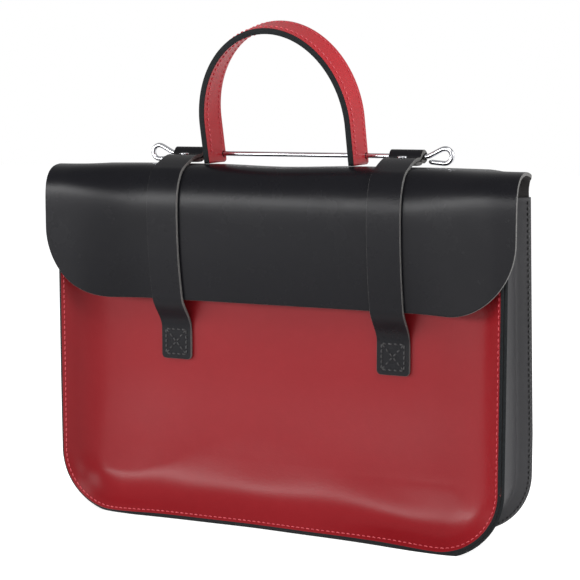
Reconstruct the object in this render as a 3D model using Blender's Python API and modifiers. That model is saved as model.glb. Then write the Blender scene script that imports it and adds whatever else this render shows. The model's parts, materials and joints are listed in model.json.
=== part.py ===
"""Leather music satchel with a bar closure.

A flat bag on two flared, sewn rims, with a flap that comes over the top from
the back panel.  Two straps are sewn to the front panel, lie over the flap and
end in riveted loops on a steel carrying bar; a three-ply leather handle turns
on the same bar.

Frame: +X to the right of the bag's front, -Y out of the front, +Z up.  The
origin is under the middle of the bag's box, on the surface it stands on.
Units are metres.
"""

import math

import bmesh
import bpy
from mathutils import Vector

# ---------------------------------------------------------------- driving sizes
FRONT_Y = -0.0386          # plane of the front rim
REAR_Y = FRONT_Y + 0.0806  # plane of the rear rim, low down
LEATHER = 0.0026           # body leather
GAP = 0.0003               # clearance between touching pieces

RIM_X = 0.1885             # half width of a panel at its rim
RIM_Z = 0.0024             # height of a panel's lowest edge
RIM_R = 0.0465             # bottom corner radius of a panel
FLANGE = 0.010             # width of the sewn flange
SEAM_INSET = 0.0034        # from the panel's edge to the stitch line

FRONT_DISH = 0.0302        # how far the front panel sinks behind its rim
REAR_DISH = 0.0124
REAR_DISH_BAND = 0.020     # width over which the back panel sinks
REAR_FILL_X = 0.070        # it fills out again over this width
REAR_FILL_LOW = 0.080      # and over this height
REAR_FILL_HIGH = 0.260
PANEL_HUB = 0.130          # half width of the flat part along a panel's top
REAR_LEAN = 0.0905         # the rear rim leans forward above LEAN_Z
LEAN_Z = 0.080

FRONT_TOP = 0.252          # top edge of the front panel
BACK_TOP = 0.262           # where the back panel starts to turn over the top
GUSSET_WEB = 0.0089        # the gusset's web lies this far inside the rim
GUSSET_BEND = 0.0135       # from a rim plane to the start of the web
GUSSET_CLIMB = 0.180       # the strip's ends rise behind the front rim above here
GUSSET_RISE = (0.010, 0.018, 0.012, 0.004)  # the rise at bend, middle, bend and rear rim
TRIM_SIZE = (0.6, 0.3, 0.02)  # block that levels the gusset's lowest edges

HINGE_Y = FRONT_Y + 0.0300  # the flap bends here
TOP_Z = 0.2863             # outer surface of the flap at its bend
TOP_SHOULDER = 0.018       # the back hide turns over within this depth
TOP_TURN = 0.6             # share of the top's rows spent on that turn
FLAP_X = 0.200             # half width of the flap
FLAP_BOTTOM = 0.178
FLAP_CORNER = 0.057
FLAP_SHOULDER = 0.256      # below this height the flap's front hangs straight
FLAP_FRONT = FRONT_Y + 0.0071
FLAP_TUCK = 0.008          # how far the flap's lower edge is drawn in
FLAP_END = 0.0105          # how far its ends stand forward, over the rim

STRAP_X = 0.095
STRAP_WIDTH = 0.0266
STRAP_THICK = 0.0028
STRAP_LIFT = 0.0019        # from the flap's surface to the middle of the strap
PATCH_Y = FRONT_Y + 0.0268  # outer face of the sewn strap end
PATCH_LOW = 0.1275
PATCH_TOP = 0.153          # the strap bends here
PATCH_THICK = 0.0030
PATCH_CORNER = 0.0035
PATCH_SEAM = 0.0041        # from the tab's edge to its stitching

BAR_R = 0.002
BAR_Y = FRONT_Y + 0.0555
BAR_Z = 0.2946
BAR_SHANK = 0.112          # half length of the straight bar
EYE_X = 0.1232             # centre and radius of the bent eye
EYE_RISE = 0.0012
EYE_R = 0.0058
LOOP_R = 0.0041            # strap loop about the bar, to the middle of the leather
LOOP_RISE = 0.0062         # middle of the loop's upper layer above the flap
RIVET_Y = BAR_Y - 0.0120
RIVET_R = 0.0015
RIVET_CAP = 0.0041
RIVET_DOME = 0.0012
WASHER_R = 0.0026
WASHER = 0.0005
HOLE_PLAY = 0.0004         # clearance of a hole round its rivet
HOLE_LENGTH = 0.016

HANDLE_X = -0.005
HANDLE_LEAN = math.radians(13.8)
HANDLE_HALF = 0.0628       # half width of the arch, to the middle of the core
HANDLE_RISE = 0.0754       # height of the round part of the arch
HANDLE_LEG = 0.0292        # height of the round part's centre above the bar
HANDLE_FRONT = -0.0260     # ribbon edges, measured from the bar
HANDLE_REAR = 0.0042
HANDLE_FOOT = 0.0070       # the leg ends this far below the bar
HANDLE_FOOT_RISE = 0.0059  # how much shorter the leg's front edge is
HANDLE_PLY = 0.0015
HANDLE_CORE = 0.0012
HANDLE_SEAM = 0.003        # from the ribbon's edge to its stitch line
HANDLE_SEAM_LOW = 0.007    # the stitching ends this far above the bar
BAR_PLAY = 0.0006          # clearance of the handle's holes round the bar
THREAD_R = 0.00045
THREAD_ROUGH = 0.6

RED = (0.331, 0.036, 0.044, 1.0)
BRIGHT_RED = (0.361, 0.030, 0.040, 1.0)
BLACK = (0.019, 0.019, 0.021, 1.0)
THREAD_RED = (0.420, 0.060, 0.070, 1.0)
THREAD_BLACK = (0.030, 0.030, 0.032, 1.0)
STEEL = (0.720, 0.720, 0.740, 1.0)


# ---------------------------------------------------------------- scene helpers
def clear_scene():
    for item in list(bpy.data.objects):
        bpy.data.objects.remove(item, do_unlink=True)


def collection(name):
    group = bpy.data.collections.new(name)
    bpy.context.scene.collection.children.link(group)
    return group


def principled(name, color, roughness, metallic=0.0):
    material = bpy.data.materials.new(name)
    material.use_nodes = True
    shader = material.node_tree.nodes["Principled BSDF"]
    shader.inputs["Base Color"].default_value = color
    shader.inputs["Roughness"].default_value = roughness
    shader.inputs["Metallic"].default_value = metallic
    material.diffuse_color = color
    return material


def add_object(name, data, group, material=None, parent=None):
    item = bpy.data.objects.new(name, data)
    group.objects.link(item)
    item.parent = parent
    if material is not None:
        data.materials.append(material)
    return item


def empty(name, group, location):
    item = bpy.data.objects.new(name, None)
    item.location = location
    item.empty_display_size = 0.02
    group.objects.link(item)
    return item


def ease(t):
    """Smooth step from 0 to 1."""
    t = min(1.0, max(0.0, t))
    return t * t * (3.0 - 2.0 * t)


def mesh_from(name, points, faces):
    mesh = bpy.data.meshes.new(name)
    mesh.from_pydata(points, [], faces)
    mesh.validate()
    mesh.shade_smooth()
    return mesh


def grid_faces(rows, columns, start=0):
    """Quads between neighbouring rows of a grid of points."""
    return [
        (
            start + i * columns + j,
            start + i * columns + j + 1,
            start + (i + 1) * columns + j + 1,
            start + (i + 1) * columns + j,
        )
        for i in range(rows - 1)
        for j in range(columns - 1)
    ]


def leather(name, points, faces, thickness, side, group, material, parent=None):
    """An open surface given its thickness; side says which way it grows."""
    item = add_object(name, mesh_from(name, points, faces), group, material, parent)
    solid = item.modifiers.new("thickness", "SOLIDIFY")
    solid.thickness = thickness
    solid.offset = side
    solid.use_even_offset = True
    return item


def thread(name, points, group, material, cyclic=False, parent=None):
    """A run of sewing thread: a fine tube along its points."""
    curve = bpy.data.curves.new(name, "CURVE")
    curve.dimensions = "3D"
    curve.bevel_depth = THREAD_R
    curve.bevel_resolution = 1
    curve.use_fill_caps = True
    spline = curve.splines.new("POLY")
    spline.points.add(len(points) - 1)
    for target, point in zip(spline.points, points):
        target.co = (*point, 1.0)
    spline.use_cyclic_u = cyclic
    return add_object(name, curve, group, material, parent)


def cut(item, cutter):
    tool = item.modifiers.new("cut", "BOOLEAN")
    tool.operation = "DIFFERENCE"
    tool.object = cutter


def cutter_cylinder(name, radius, length, location, rotation, group):
    mesh = bpy.data.meshes.new(name)
    work = bmesh.new()
    bmesh.ops.create_cone(
        work, cap_ends=True, segments=20, radius1=radius, radius2=radius, depth=length
    )
    work.to_mesh(mesh)
    work.free()
    item = add_object(name, mesh, group)
    item.location = location
    item.rotation_euler = rotation
    item.display_type = "WIRE"
    item.hide_render = True
    return item


# ---------------------------------------------------------------- the bag's body
def rim_path(top):
    """The U-shaped rim: (x, z) points with their outward normals, left top to
    right top."""
    sides, corner, bottom = 6, 9, 9
    path = []
    low = RIM_Z + RIM_R
    for i in range(sides):
        path.append((-RIM_X, top + (low - top) * i / sides, -1.0, 0.0))
    for i in range(corner):
        angle = math.pi + 0.5 * math.pi * i / corner
        nx, nz = math.cos(angle), math.sin(angle)
        path.append((-RIM_X + RIM_R + RIM_R * nx, low + RIM_R * nz, nx, nz))
    half = RIM_X - RIM_R
    for i in range(bottom):
        path.append((-half + half * i / bottom, RIM_Z, 0.0, -1.0))
    mirrored = [(-x, z, -nx, nz) for x, z, nx, nz in reversed(path)]
    return path + [(0.0, RIM_Z, 0.0, -1.0)] + mirrored


def rim_distance(x, z):
    """Distance inside the rim, up to one corner radius."""
    across = max(0.0, 1.0 - (RIM_X - abs(x)) / RIM_R)
    down = max(0.0, 1.0 - (z - RIM_Z) / RIM_R)
    return RIM_R * (1.0 - min(1.0, math.hypot(across, down)))


def sink(distance, band):
    """Share of a panel's full dish at a distance inside its rim."""
    t = min(1.0, distance / band)
    return 1.5 * t - 0.5 * t ** 3


def sink_slope(distance, band, depth):
    t = min(1.0, distance / band)
    return depth / band * (1.5 - 1.5 * t * t)


def rear_rim(z):
    return REAR_Y - REAR_LEAN * max(0.0, z - LEAN_Z)


def front_surface(x, z):
    return FRONT_Y + FRONT_DISH * sink(rim_distance(x, z), RIM_R)


def back_surface(x, z):
    """The back panel sinks behind its rim, and fills out again towards the top."""
    filled = ease((RIM_X - abs(x) - REAR_DISH_BAND) / REAR_FILL_X)
    filled *= ease((z - REAR_FILL_LOW) / (REAR_FILL_HIGH - REAR_FILL_LOW))
    dish = sink(rim_distance(x, z), REAR_DISH_BAND) - filled
    return rear_rim(z) - REAR_DISH * dish


def panel_fan(top, surface):
    """A panel's surface as a fan from its top edge down to the rim: points,
    faces and the indices of the top edge from left to right."""
    path = rim_path(top)
    steps = [0.0, 0.16, 0.36, 0.62, 1.0]
    count = len(path)
    points = []
    for i, (x, z, nx, nz) in enumerate(path):
        hub = (-PANEL_HUB + 2.0 * PANEL_HUB * i / (count - 1), top)
        inner = (x - FLANGE * nx, z - FLANGE * nz)
        ring = [(x, z)] + [
            (inner[0] + (hub[0] - inner[0]) * t, inner[1] + (hub[1] - inner[1]) * t)
            for t in steps
        ]
        points += [(px, surface(px, pz), pz) for px, pz in ring]
    columns = len(steps) + 1
    faces = grid_faces(count, columns)
    last = (count - 1) * columns
    edge = list(range(columns))
    edge += [i * columns + columns - 1 for i in range(1, count - 1)]
    edge += [last + j for j in reversed(range(columns))]
    return points, faces, edge


def make_front_panel(group):
    points, faces, _ = panel_fan(FRONT_TOP, front_surface)
    material = principled("red_panel_leather", RED, 0.32)
    return leather("front_panel", points, faces, LEATHER, 1.0, group, material)


def top_profile(t):
    """Outer surface over the bag's top, from the back panel to the flap's bend."""
    start = rear_rim(BACK_TOP)
    angle = 0.5 * math.pi * min(1.0, t / TOP_TURN)
    if t <= TOP_TURN:
        y = start - TOP_SHOULDER * (1.0 - math.cos(angle))
        z = BACK_TOP + (TOP_Z - BACK_TOP) * math.sin(angle)
        return y, z
    share = (t - TOP_TURN) / (1.0 - TOP_TURN)
    turned = start - TOP_SHOULDER
    return turned + (HINGE_Y + GAP - turned) * share, TOP_Z


def make_back_panel(group):
    points, faces, edge = panel_fan(BACK_TOP, back_surface)
    rows = 10
    previous = edge
    start = rear_rim(BACK_TOP)
    for i in range(1, rows + 1):
        t = i / rows
        y, z = top_profile(t)
        current = []
        for index in edge:
            x, y_edge, _ = points[index]
            widen = 1.0 + (FLAP_X / RIM_X - 1.0) * ease(t)
            current.append(len(points))
            points.append((x * widen, y + (y_edge - start) * (1.0 - t) ** 2, z))
        for j in range(len(edge) - 1):
            faces.append((previous[j], current[j], current[j + 1], previous[j + 1]))
        previous = current
    material = principled("black_back_leather", BLACK, 0.42)
    return leather("back_panel", points, faces, LEATHER, -1.0, group, material)


def flange_point(distance, depth, band, direction):
    """Hidden face of the gusset's flange: outward shift and depth from the rim
    plane, for a point this far inside the panel's edge."""
    slope = sink_slope(distance, band, depth)
    length = math.hypot(slope, 1.0)
    offset = LEATHER + GAP
    out = -distance + offset * slope / length
    into = depth * sink(distance, band) + offset / length
    return out, direction * into


def make_gusset(group, cutters):
    front = [flange_point(d, FRONT_DISH, RIM_R, 1.0) for d in (0.0, FLANGE)]
    rear = [flange_point(d, REAR_DISH, REAR_DISH_BAND, -1.0) for d in (FLANGE, 0.0)]
    web = -GUSSET_WEB
    path = rim_path(FRONT_TOP)
    points = []
    for x, z, nx, nz in path:
        back = rear_rim(z)
        middle = 0.5 * (FRONT_Y + back)
        stations = [(out, FRONT_Y + into, 0.0) for out, into in front]
        bends = (FRONT_Y + GUSSET_BEND, middle, back - GUSSET_BEND)
        stations += [(web, y, rise) for y, rise in zip(bends, GUSSET_RISE)]
        stations += [(out, back + into, GUSSET_RISE[-1]) for out, into in rear]
        climb = max(0.0, (z - GUSSET_CLIMB) / (FRONT_TOP - GUSSET_CLIMB))
        for out, y, extra in stations:
            points.append((x + out * nx, y, z + out * nz + extra * climb))
    faces = grid_faces(len(path), len(stations))
    material = principled("black_gusset_leather", BLACK, 0.45)
    item = leather("gusset", points, faces, LEATHER - 0.0002, 1.0, group, material)

    # The gusset's lowest edges are trimmed level, so that the bag stands on them.
    mesh = bpy.data.meshes.new("floor_trim")
    work = bmesh.new()
    bmesh.ops.create_cube(work, size=1.0)
    bmesh.ops.scale(work, vec=TRIM_SIZE, verts=work.verts)
    work.to_mesh(mesh)
    work.free()
    trim = add_object("floor_trim", mesh, cutters)
    trim.location = (0.0, 0.0, -0.5 * TRIM_SIZE[2])
    trim.display_type = "WIRE"
    trim.hide_render = True
    cut(item, trim)
    return item


def make_seam_thread(name, surface, direction, top, depth, band, group, material):
    """The stitch line round a rim, just clear of the panel's face."""
    lift = THREAD_R + GAP
    slope = sink_slope(SEAM_INSET, band, depth)
    length = math.hypot(slope, 1.0)
    points = []
    for x, z, nx, nz in rim_path(top):
        out = -SEAM_INSET - lift * slope / length
        px = x + out * nx
        pz = z + out * nz
        y = surface(x - SEAM_INSET * nx, z - SEAM_INSET * nz)
        points.append((px, y - direction * lift / length, pz))
    return thread(name, points, group, material)


# ---------------------------------------------------------------- the flap
def flap_front(z, end):
    """Outer surface of the hanging front; end is 1 over the rims at the sides."""
    tuck = FLAP_TUCK * ((FLAP_SHOULDER - z) / (FLAP_SHOULDER - FLAP_BOTTOM)) ** 2
    return FLAP_FRONT + tuck - end * (FLAP_END + tuck)


def flap_section(low, end, rows):
    """(y, z) points of the flap's outer surface, from its bend down to low."""
    bend = []
    turn = rows // 2
    reach = HINGE_Y - FLAP_FRONT + FLAP_END * end
    for i in range(turn):
        angle = 0.5 * math.pi * i / turn
        y = HINGE_Y - reach * math.sin(angle)
        z = FLAP_SHOULDER + (TOP_Z - FLAP_SHOULDER) * math.cos(angle)
        bend.append((y, z))
    for i in range(rows - turn + 1):
        z = FLAP_SHOULDER + (low - FLAP_SHOULDER) * i / (rows - turn)
        bend.append((flap_front(z, end), z))
    return bend


def make_flap(group, parent):
    columns, rows = 28, 14
    points = []
    for j in range(columns + 1):
        x = FLAP_X * math.sin(0.5 * math.pi * (2.0 * j / columns - 1.0))
        inside = max(0.0, abs(x) - FLAP_X + FLAP_CORNER)
        low = FLAP_BOTTOM + FLAP_CORNER - math.sqrt(FLAP_CORNER ** 2 - inside ** 2)
        end = ease((abs(x) - 0.110) / 0.075)
        for i, (y, z) in enumerate(flap_section(low, end, rows)):
            if i == 0:
                y -= GAP
            points.append(Vector((x, y, z)) - parent.location)
    faces = grid_faces(columns + 1, rows + 1)
    material = principled("black_flap_leather", BLACK, 0.40)
    return leather("flap", points, faces, LEATHER, -1.0, group, material, parent)


# ---------------------------------------------------------------- the straps
def strap_path():
    """(y, z) points of the middle of a strap, from its bend at the sewn end up
    over the flap, round the bar and back under itself."""
    path = []
    foot = PATCH_Y + 0.5 * STRAP_THICK
    join = 0.182
    for i in range(9):
        t = i / 8
        z = PATCH_TOP + GAP + (join - PATCH_TOP - GAP) * t
        path.append((foot + (flap_front(join, 0.0) - STRAP_LIFT - foot) * ease(t), z))
    for i in range(1, 8):
        z = join + (FLAP_SHOULDER - join) * i / 7
        path.append((flap_front(z, 0.0) - STRAP_LIFT, z))
    for i in range(1, 9):
        angle = 0.5 * math.pi * (1.0 - i / 8)
        y = HINGE_Y - (HINGE_Y - FLAP_FRONT + STRAP_LIFT) * math.sin(angle)
        z = FLAP_SHOULDER + (TOP_Z + STRAP_LIFT - FLAP_SHOULDER) * math.cos(angle)
        path.append((y, z))
    upper = TOP_Z + LOOP_RISE
    for i in range(1, 5):
        t = i / 4
        y = HINGE_Y + (RIVET_Y - 0.003 - HINGE_Y) * t
        path.append((y, TOP_Z + STRAP_LIFT + (upper - TOP_Z - STRAP_LIFT) * ease(t)))
    path.append((RIVET_Y + 0.005, upper + 0.0002))
    turns = 10
    for i in range(turns + 1):
        angle = math.radians(130.0 - 260.0 * i / turns)
        path.append((BAR_Y + LOOP_R * math.cos(angle), BAR_Z + LOOP_R * math.sin(angle)))
    path.append((RIVET_Y + 0.005, upper - STRAP_THICK - 0.0003))
    path.append((RIVET_Y - 0.0035, upper - STRAP_THICK - 0.0005))
    return path


def make_strap(name, x, group, cutters, parent):
    half = 0.5 * STRAP_WIDTH
    points = []
    for y, z in strap_path():
        for side in (-half, half):
            points.append(Vector((x + side, y, z)) - parent.location)
    faces = grid_faces(len(points) // 2, 2)
    material = principled(f"{name}_leather", BLACK, 0.42)
    item = leather(name, points, faces, STRAP_THICK, 0.0, group, material, parent)
    hole = cutter_cylinder(
        f"{name}_rivet_hole", RIVET_R + HOLE_PLAY, HOLE_LENGTH, (x, RIVET_Y, TOP_Z + LOOP_RISE),
        (0.0, 0.0, 0.0), cutters
    )
    cut(item, hole)
    return item


def make_rivet(name, x, group, parent):
    """A domed cap and a washer on one shank, turned about the rivet's axis."""
    upper = LOOP_RISE + 0.5 * STRAP_THICK + 0.0004
    lower = LOOP_RISE - 1.5 * STRAP_THICK - 0.0008
    rim = upper + 0.0004
    profile = [(0.0, rim + RIVET_DOME)]
    profile += [
        (RIVET_CAP * math.sin(a), rim + RIVET_DOME * math.cos(a))
        for a in (math.radians(25.0 * k) for k in range(1, 4))
    ]
    profile += [(RIVET_CAP, upper), (RIVET_R, upper), (RIVET_R, lower), (WASHER_R, lower)]
    profile += [(WASHER_R, lower - WASHER), (0.0, lower - WASHER)]
    mesh = bpy.data.meshes.new(name)
    points = [(r, 0.0, z) for r, z in profile]
    mesh.from_pydata(points, [(i, i + 1) for i in range(len(points) - 1)], [])
    item = add_object(name, mesh, group, principled(f"{name}_steel", STEEL, 0.18, 1.0), parent)
    item.location = Vector((x, RIVET_Y, TOP_Z)) - parent.location
    turn = item.modifiers.new("turn", "SCREW")
    turn.steps = 20
    turn.render_steps = 20
    turn.use_merge_vertices = True
    turn.merge_threshold = 0.00001
    return item


def make_strap_end(name, x, group):
    """The sewn lower end: a flat tab with rounded lower corners."""
    half, radius = 0.5 * STRAP_WIDTH, PATCH_CORNER
    top, low = PATCH_TOP - GAP, PATCH_LOW
    outline = [(half, top), (-half, top)]
    for side, start in ((-1.0, math.pi), (1.0, 1.5 * math.pi)):
        for k in range(5):
            angle = start + 0.125 * math.pi * k
            outline.append((
                side * (half - radius) + radius * math.cos(angle),
                low + radius + radius * math.sin(angle),
            ))
    curve = bpy.data.curves.new(name, "CURVE")
    curve.dimensions = "2D"
    curve.fill_mode = "BOTH"
    curve.extrude = 0.5 * PATCH_THICK
    spline = curve.splines.new("POLY")
    spline.points.add(len(outline) - 1)
    for target, (px, pz) in zip(spline.points, outline):
        target.co = (px, pz, 0.0, 1.0)
    spline.use_cyclic_u = True
    item = add_object(name, curve, group, principled(f"{name}_leather", BLACK, 0.42))
    item.location = (x, PATCH_Y + 0.5 * PATCH_THICK, 0.0)
    item.rotation_euler = (0.5 * math.pi, 0.0, 0.0)
    return item


def make_strap_thread(name, x, group):
    half = 0.5 * STRAP_WIDTH - PATCH_SEAM
    low, top = PATCH_LOW + PATCH_SEAM, PATCH_TOP - PATCH_SEAM
    y = PATCH_Y - THREAD_R - GAP
    corners = [(-half, low), (half, low), (half, top), (-half, top)]
    points = [(x + px, y, pz) for px, pz in corners]
    material = principled(f"{name}_thread", THREAD_BLACK, THREAD_ROUGH)
    return thread(name, points, group, material, cyclic=True)


# ---------------------------------------------------------------- bar and handle
def make_carry_bar(group, parent):
    """A steel rod whose ends are bent up and round into open eyes."""
    right = [(BAR_SHANK, 0.0), (BAR_SHANK + 0.0030, 0.0009), (BAR_SHANK + 0.0052, 0.0028)]
    for k in range(13):
        angle = math.radians(140.0 - 230.0 * k / 12)
        right.append((EYE_X + EYE_R * math.cos(angle), EYE_RISE + EYE_R * math.sin(angle)))
    right.append((EYE_X - 0.0065, EYE_RISE - EYE_R))
    route = [(-x, z) for x, z in reversed(right)] + right
    curve = bpy.data.curves.new("carry_bar", "CURVE")
    curve.dimensions = "3D"
    curve.bevel_depth = BAR_R
    curve.bevel_resolution = 3
    curve.use_fill_caps = True
    spline = curve.splines.new("POLY")
    spline.points.add(len(route) - 1)
    for target, (x, z) in zip(spline.points, route):
        target.co = (x, 0.0, z, 1.0)
    material = principled("bar_steel", STEEL, 0.15, 1.0)
    return add_object("carry_bar", curve, group, material, parent)


def arch_path(shift, low):
    """(x, z) points of the handle's arch about the bar, shifted outwards."""
    half, rise = HANDLE_HALF + shift, HANDLE_RISE + shift
    legs = 3
    left = [(-half, low + (HANDLE_LEG - low) * i / legs) for i in range(legs)]
    crown = []
    for k in range(25):
        angle = math.pi * (1.0 - k / 24)
        crown.append((half * math.cos(angle), HANDLE_LEG + rise * math.sin(angle)))
    return left + crown + [(-x, z) for x, z in reversed(left)]


def foot_level(across):
    """Lower end of a leg: cut level towards the front, round behind the bar."""
    if across < 0.0:
        return -HANDLE_FOOT + HANDLE_FOOT_RISE * across / HANDLE_FRONT
    return -math.sqrt(HANDLE_FOOT ** 2 - across ** 2)


def make_handle_ply(name, shift, thickness, group, color, roughness, hole, parent):
    widths = [HANDLE_FRONT, -0.017, -0.008, 0.0, 0.0024, HANDLE_REAR]
    columns = [arch_path(shift, foot_level(across)) for across in widths]
    points = []
    for column, across in zip(columns, widths):
        points += [(x, across, z) for x, z in column]
    faces = grid_faces(len(widths), len(columns[0]))
    material = principled(f"{name}_leather", color, roughness)
    item = leather(name, points, faces, thickness, 0.0, group, material, parent)
    cut(item, hole)
    return item


def make_handle(group, cutters, parent):
    hole = cutter_cylinder(
        "bar_hole", BAR_R + BAR_PLAY, 3.0 * HANDLE_HALF, (HANDLE_X, BAR_Y, BAR_Z),
        (0.0, 0.5 * math.pi, 0.0), cutters
    )
    reach = 0.5 * (HANDLE_CORE + HANDLE_PLY) + GAP
    plies = [
        ("handle_outer_ply", reach, HANDLE_PLY, BRIGHT_RED, 0.30),
        ("handle_core", 0.0, HANDLE_CORE, BLACK, 0.50),
        ("handle_inner_ply", -reach, HANDLE_PLY, BRIGHT_RED, 0.32),
    ]
    for name, shift, thickness, color, roughness in plies:
        make_handle_ply(name, shift, thickness, group, color, roughness, hole, parent)
    lift = reach + 0.5 * HANDLE_PLY + GAP + THREAD_R
    rows = [("handle_front_thread", HANDLE_FRONT + HANDLE_SEAM),
            ("handle_rear_thread", HANDLE_REAR - HANDLE_SEAM)]
    for name, across in rows:
        points = [(x, across, z) for x, z in arch_path(lift, HANDLE_SEAM_LOW)]
        material = principled(name, THREAD_RED, THREAD_ROUGH)
        thread(name, points, group, material, parent=parent)


# ---------------------------------------------------------------- assembly
def main():
    clear_scene()
    group = collection("music_satchel")
    cutters = collection("cutters")

    make_front_panel(group)
    make_gusset(group, cutters)
    make_back_panel(group)
    red_thread = principled("front_thread", THREAD_RED, THREAD_ROUGH)
    black_thread = principled("back_thread", THREAD_BLACK, THREAD_ROUGH)
    make_seam_thread("front_seam_thread", front_surface, 1.0, FRONT_TOP, FRONT_DISH, RIM_R,
                     group, red_thread)
    make_seam_thread("back_seam_thread", back_surface, -1.0, FRONT_TOP, REAR_DISH,
                     REAR_DISH_BAND, group, black_thread)

    flap_hinge = empty("flap_hinge", group, (0.0, HINGE_Y, TOP_Z))
    make_flap(group, flap_hinge)

    strap_hinge = empty("strap_hinge", group, (0.0, PATCH_Y, PATCH_TOP))
    for side, x in (("left", -STRAP_X), ("right", STRAP_X)):
        make_strap(f"strap_{side}", x, group, cutters, strap_hinge)
        make_rivet(f"strap_rivet_{side}", x, group, strap_hinge)
        make_strap_end(f"strap_end_{side}", x, group)
        make_strap_thread(f"strap_thread_{side}", x, group)

    bar_axis = empty("bar_axis", group, (0.0, BAR_Y, BAR_Z))
    make_carry_bar(group, bar_axis)
    handle_axis = empty("handle_axis", group, (HANDLE_X, BAR_Y, BAR_Z))
    handle_axis.rotation_euler = (HANDLE_LEAN, 0.0, 0.0)
    make_handle(group, cutters, handle_axis)

    bpy.context.view_layer.update()


main()
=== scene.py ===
"""Looks of the leather music satchel: hides, straps, handle, stitches, rivets and
the bent steel bar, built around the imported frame.  Units are metres."""

import json
import math

import bpy
import numpy as np
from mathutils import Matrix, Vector


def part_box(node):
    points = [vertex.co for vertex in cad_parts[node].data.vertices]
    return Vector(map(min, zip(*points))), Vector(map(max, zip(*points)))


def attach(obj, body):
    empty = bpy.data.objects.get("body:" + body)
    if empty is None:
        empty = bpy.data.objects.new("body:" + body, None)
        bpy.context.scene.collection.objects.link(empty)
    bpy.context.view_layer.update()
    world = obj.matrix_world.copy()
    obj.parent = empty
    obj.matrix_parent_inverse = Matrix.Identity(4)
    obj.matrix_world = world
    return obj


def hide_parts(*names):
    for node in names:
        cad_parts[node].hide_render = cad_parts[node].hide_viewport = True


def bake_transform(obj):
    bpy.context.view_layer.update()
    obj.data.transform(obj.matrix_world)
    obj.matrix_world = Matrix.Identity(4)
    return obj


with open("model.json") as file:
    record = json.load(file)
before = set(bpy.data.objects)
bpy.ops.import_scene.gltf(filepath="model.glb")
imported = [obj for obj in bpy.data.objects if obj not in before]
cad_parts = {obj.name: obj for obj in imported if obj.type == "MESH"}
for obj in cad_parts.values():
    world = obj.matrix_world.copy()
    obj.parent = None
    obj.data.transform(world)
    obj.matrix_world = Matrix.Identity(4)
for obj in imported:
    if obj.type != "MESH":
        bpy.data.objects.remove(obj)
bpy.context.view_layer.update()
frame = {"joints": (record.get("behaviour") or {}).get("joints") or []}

# ------------------------------------------------------------ places from the frame
PANEL_LO, PANEL_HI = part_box("front_panel")
FLAP_LO, FLAP_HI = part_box("flap")
STRAP_LO, STRAP_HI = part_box("strap_right")
RIVET_LO, RIVET_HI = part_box("strap_rivet_right")
BAR_LO, BAR_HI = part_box("carry_bar")
TAB_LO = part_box("strap_end_right")[0]
JOINTS = {joint["name"]: joint for joint in frame["joints"]}

FRONT_Y = PANEL_LO.y                    # plane of the front rim
REAR_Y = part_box("back_panel")[1].y      # plane of the rear rim
FRONT_TOP = PANEL_HI.z                  # upper edge of the front panel
HINGE_Y, TOP_Z = JOINTS["flap_open"]["pos_m"][1:]
FLAP_X = FLAP_HI.x
FLAP_LOW = FLAP_LO.z
STRAP_X = 0.5 * (STRAP_LO.x + STRAP_HI.x)
STRAP_WIDTH = STRAP_HI.x - STRAP_LO.x
TAB_Y = TAB_LO.y                        # face of the straps' sewn ends
TAB_LOW = TAB_LO.z
TAB_TOP = JOINTS["straps_swing"]["pos_m"][2]
RIVET_Y = 0.5 * (RIVET_LO.y + RIVET_HI.y)
BAR_Y, BAR_Z = JOINTS["bar_spin"]["pos_m"][1:]
BAR_R = 0.5 * (BAR_HI.y - BAR_LO.y)

# ------------------------------------------------------------ hides and rims
LEATHER = 0.0026                # thickness of the body's hides
GAP = 0.0003                    # kept between neighbouring hides
EDGE_SWELL = 0.10               # of a cut edge, as a share of the thickness
EDGE_STEPS = 5                  # round a cut edge
EDGE_OUT = 0.0018               # the panel's edge, outside the line of its rim
RIM_X = PANEL_HI.x - EDGE_OUT   # half the width between the rims' sides
RIM_Z = 0.0024                  # height of the rims' lower run
RIM_R = 0.0465                  # radius of the rims' corners
RIM_LIFT = 0.0014               # of the front rim's lower run in the middle
LIFT_X = (0.145, 0.095)         # places across over which it lifts
LIFT_Z = (0.045, 0.0)           # and heights
# depth, middle and width of the front rim's waves along the floor
RIM_WAVES = ((-0.0050, 0.140, 0.050), (-0.0026, -0.124, 0.030), (0.0016, -0.015, 0.035))
WAVE_Z = (0.055, 0.0)           # heights over which the waves come in

# the front panel's dish; a span is where a change starts and where it is complete
FRONT_DISH = 0.0302             # depth of the flat middle
WALL_ANGLE = math.radians(75.0)
WALL_WIDTH = 0.0127             # of the steep wall inside the rim
WALL_FADE = 0.0085              # over which the wall rounds off into the middle
PANEL_LEAN = 0.0045             # part of the depth that comes in higher up
LEAN_SPAN_Z = (0.030, 0.125)
LEAN_SPAN_IN = 0.080            # from the sides
RIM_FLARE = 0.85                # share of the wall's angle that the rim has
LEFT_FLARE = 0.55               # the same near the left side
LEFT_SPAN = (-0.080, -0.160)
FLARE_WIDTH = 0.011             # over which the wall's angle becomes full
# relative width of the wall up the sides, which grows from left to right
SIDE_ROLL, SIDE_ROLL_GAIN = 0.88, 0.24
SIDE_ROLL_SPAN = (-0.10, 0.10)
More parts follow.
